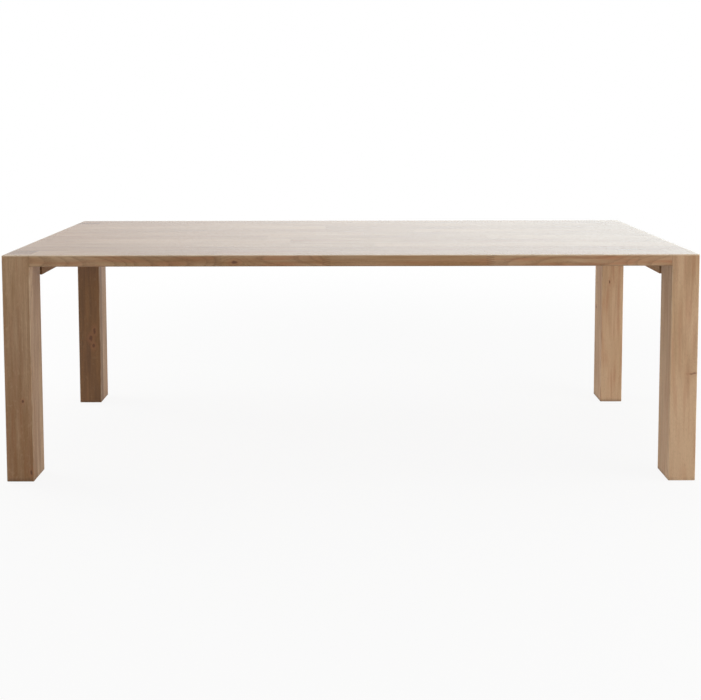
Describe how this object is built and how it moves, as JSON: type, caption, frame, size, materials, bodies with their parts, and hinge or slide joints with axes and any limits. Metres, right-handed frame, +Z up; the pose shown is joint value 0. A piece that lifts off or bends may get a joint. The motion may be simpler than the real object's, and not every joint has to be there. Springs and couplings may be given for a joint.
{
  "type": "parsons dining table",
  "caption": "Long rectangular oak dining table: a thick butcher-block top whose notched corners take square full-height legs, flush on every side.",
  "frame": {"origin": "on the floor under the middle of the table", "axes": "+X along the table's length, +Y from its front to its rear, +Z up"},
  "size_m": [2.286, 0.914, 0.762],
  "materials": {
    "oak_top": "satin",
    "oak_leg": "satin",
    "oak_cleat": "satin",
    "beech_tenon": "matte",
    "black_steel": "matte",
    "zinc_steel": "satin",
    "nylon": "matte",
    "felt": "matte"
  },
  "bodies": {
    "root": {"bracket_screws": "zinc_steel", "cleat_washers": "zinc_steel", "corner_bracket_front_left": "black_steel", "corner_bracket_front_right": "black_steel", "corner_bracket_rear_left": "black_steel", "corner_bracket_rear_right": "black_steel", "end_cleat_left": "oak_cleat", "end_cleat_right": "oak_cleat", "end_cleat_screws": "zinc_steel", "end_tenons": "beech_tenon", "foot_felts": "felt", "foot_glide_screws": "zinc_steel", "foot_glides": "nylon", "leg_bolt_washers": "zinc_steel", "leg_bolts": "zinc_steel", "leg_front_left_core_board": "oak_leg", "leg_front_left_face_board": "oak_leg", "leg_front_left_inner_board": "oak_leg", "leg_front_right_core_board": "oak_leg", "leg_front_right_face_board": "oak_leg", "leg_front_right_inner_board": "oak_leg", "leg_inserts": "zinc_steel", "leg_rear_left_core_board": "oak_leg", "leg_rear_left_face_board": "oak_leg", "leg_rear_left_inner_board": "oak_leg", "leg_rear_right_core_board": "oak_leg", "leg_rear_right_face_board": "oak_leg", "leg_rear_right_inner_board": "oak_leg", "mid_cleat_left": "oak_cleat", "mid_cleat_right": "oak_cleat", "mid_cleat_screws": "zinc_steel", "side_tenons": "beech_tenon", "top_board_01a": "oak_top", "top_board_01b": "oak_top", "top_board_01c": "oak_top", "top_board_01d": "oak_top", "top_board_02a": "oak_top", "top_board_02b": "oak_top", "top_board_03a": "oak_top", "top_board_03b": "oak_top", "top_board_03c": "oak_top", "top_board_04a": "oak_top", "top_board_04b": "oak_top", "top_board_05a": "oak_top", "top_board_05b": "oak_top", "top_board_05c": "oak_top", "top_board_06a": "oak_top", "top_board_06b": "oak_top", "top_board_07a": "oak_top", "top_board_07b": "oak_top", "top_board_07c": "oak_top", "top_board_08a": "oak_top", "top_board_08b": "oak_top", "top_board_09a": "oak_top", "top_board_09b": "oak_top", "top_board_09c": "oak_top", "top_board_10a": "oak_top", "top_board_10b": "oak_top"}
  },
  "joints": []
}
